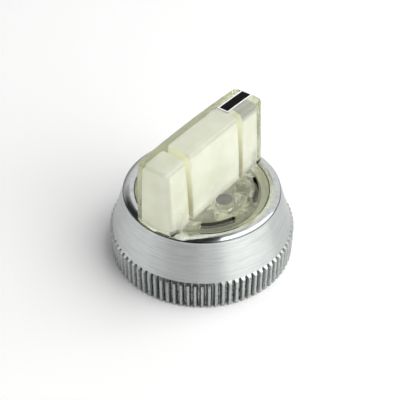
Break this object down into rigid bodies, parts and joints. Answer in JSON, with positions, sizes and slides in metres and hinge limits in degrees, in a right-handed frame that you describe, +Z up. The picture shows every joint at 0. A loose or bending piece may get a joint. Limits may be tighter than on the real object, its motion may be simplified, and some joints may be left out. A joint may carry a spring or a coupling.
{
  "type": "selector knob",
  "caption": "Clear bar-grip selector knob with a black index mark, turning inside a knurled metal ring nut that screws onto a panel-mounted rotary switch.",
  "frame": {"origin": "centre of the ring nut's flat base, on the turning axis", "axes": "+Z up along the turning axis, out of the panel; +Y along the grip towards the index mark; +X to the right of the grip seen from the front of the panel"},
  "size_m": [0.042, 0.042, 0.0329],
  "materials": {
    "satin_chrome": "satin turned cone, bright rim",
    "clear_plastic": "clear, polished outside, frosted in the pockets",
    "black_ink": "matt black fill",
    "white_ink": "matt white fill"
  },
  "bodies": {
    "ring": {"bezel_ring": "satin_chrome"},
    "knob": {"knob_lens": "clear_plastic", "index_bar": "black_ink", "index_border": "white_ink"}
  },
  "joints": [
    {"name": "knob_turn", "type": "hinge", "parent": "ring", "child": "knob", "pos_m": [0, 0, 0.0138], "axis": [0, 0, 1], "continuous": true}
  ]
}
